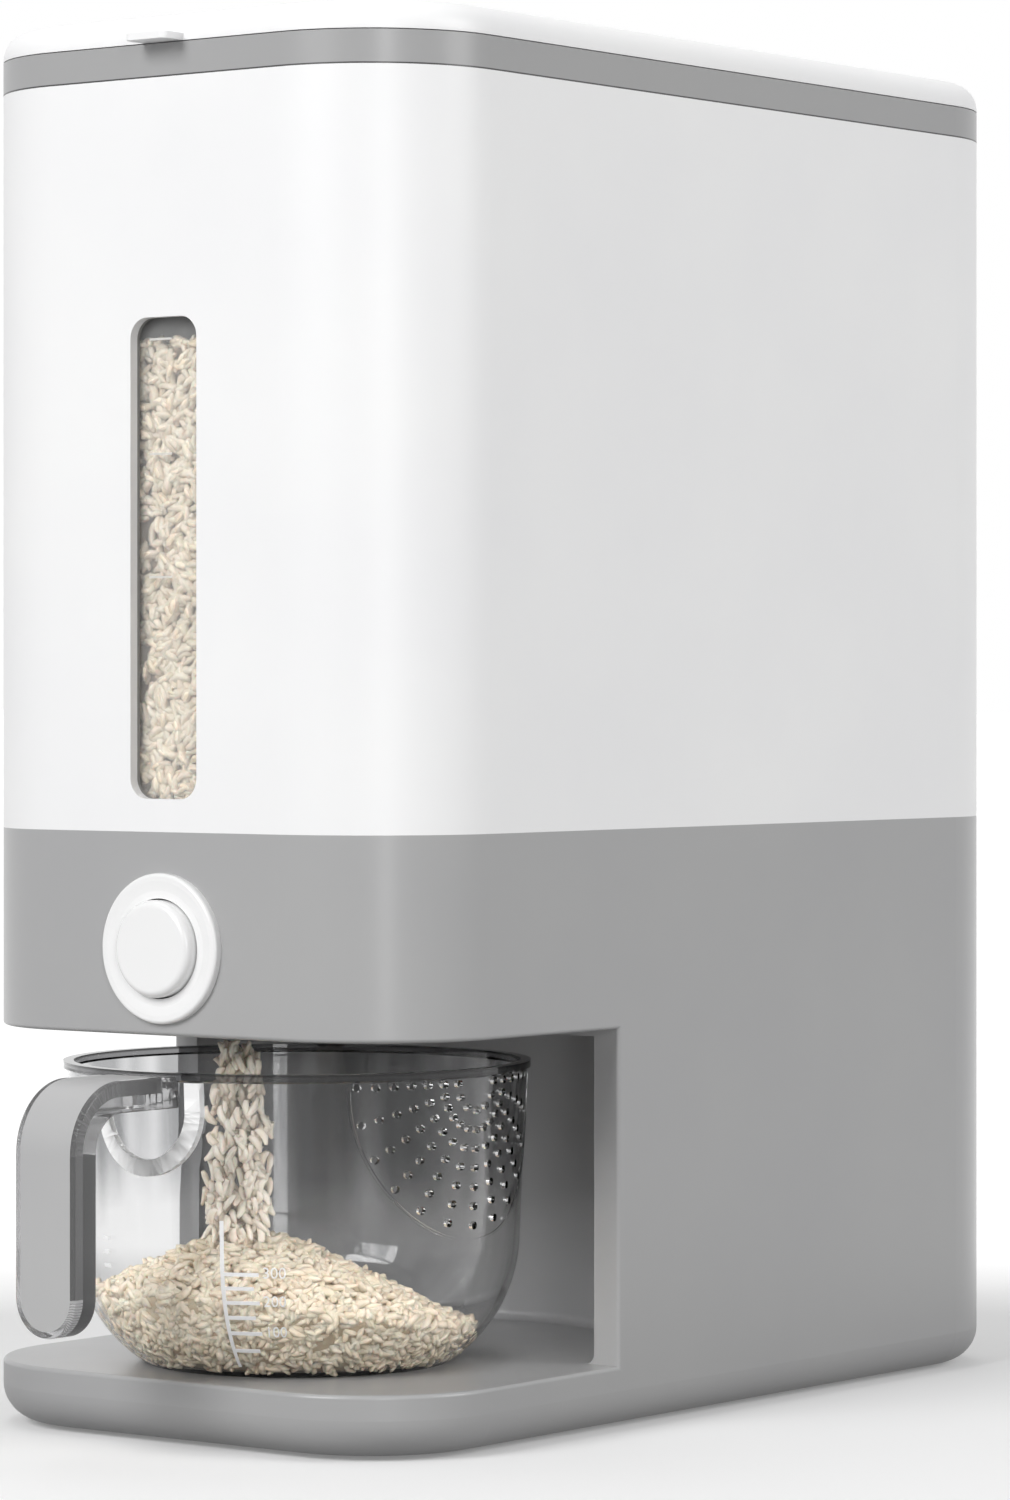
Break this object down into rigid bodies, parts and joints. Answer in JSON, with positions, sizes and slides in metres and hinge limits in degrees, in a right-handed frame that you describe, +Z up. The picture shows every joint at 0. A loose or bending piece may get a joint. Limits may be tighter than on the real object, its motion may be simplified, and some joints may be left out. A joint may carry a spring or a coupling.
{
  "type": "rice dispenser",
  "caption": "Countertop grain dispenser with a lidded tank, level window, push button, open bay and a clear measuring cup.",
  "frame": {"origin": "on the floor, under the middle of the body's footprint", "axes": "+Z up; -Y is the front, with the window, the button and the cup; +X is on the viewer's right, on the side of the cup's drain holes"},
  "size_m": [0.17, 0.3845, 0.4087],
  "materials": {
    "grey_housing": "satin moulded ABS",
    "white_tank": "satin white moulded ABS",
    "white_inner": "plain white polypropylene",
    "white_button": "gloss white ABS",
    "grey_mechanism": "plain acetal",
    "grey_inlay": "satin grey ABS",
    "smoke_clear": "smoky clear AS plastic",
    "seal_silicone": "soft silicone",
    "foot_rubber": "matt black rubber",
    "screw_steel": "zinc plated steel"
  },
  "bodies": {
    "housing": {"base_housing": "grey_housing", "bottom_cover": "grey_housing", "cover_screws": "screw_steel", "rubber_feet": "foot_rubber", "storage_tank": "white_tank", "window_gasket": "seal_silicone", "level_window": "smoke_clear", "hopper_funnel": "white_inner", "hopper_stand": "white_inner", "outlet_chute": "white_inner", "chute_screws": "screw_steel", "gate_pivot_pins": "screw_steel", "button_bezel": "white_button", "bezel_nut": "grey_mechanism", "return_spring": "screw_steel", "lid_frame": "grey_housing", "hinge_pins": "screw_steel"},
    "button": {"push_button": "white_button", "button_yoke": "grey_mechanism"},
    "gate": {"discharge_gate": "grey_mechanism"},
    "lid": {"lid_shell": "white_tank", "lid_seal": "seal_silicone"},
    "cup": {"measuring_cup": "smoke_clear", "cup_handle": "smoke_clear", "handle_inlay": "grey_inlay"}
  },
  "joints": [
    {"name": "button_press", "type": "slide", "parent": "housing", "child": "button", "axis": [0, 1, 0], "range_m": [0, 0.006], "stiffness_N_per_m": 300, "springref_m": -0.004, "deforming": ["return_spring"]},
    {"name": "gate_swing", "type": "hinge", "parent": "housing", "child": "gate", "pos_m": [0, -0.13, 0.152], "axis": [1, 0, 0], "range_deg": [0, 42]},
    {"name": "lid_hinge", "type": "hinge", "parent": "housing", "child": "lid", "pos_m": [0, 0.1675, 0.4], "axis": [-1, 0, 0], "range_deg": [0, 100]},
    {"name": "cup_slide", "type": "slide", "parent": "housing", "child": "cup", "axis": [0, -1, 0], "range_m": [0, 0.2]}
  ],
  "couplings": [
    {"joint": "gate_swing", "follows": "button_press", "rad_per_m": 120}
  ]
}
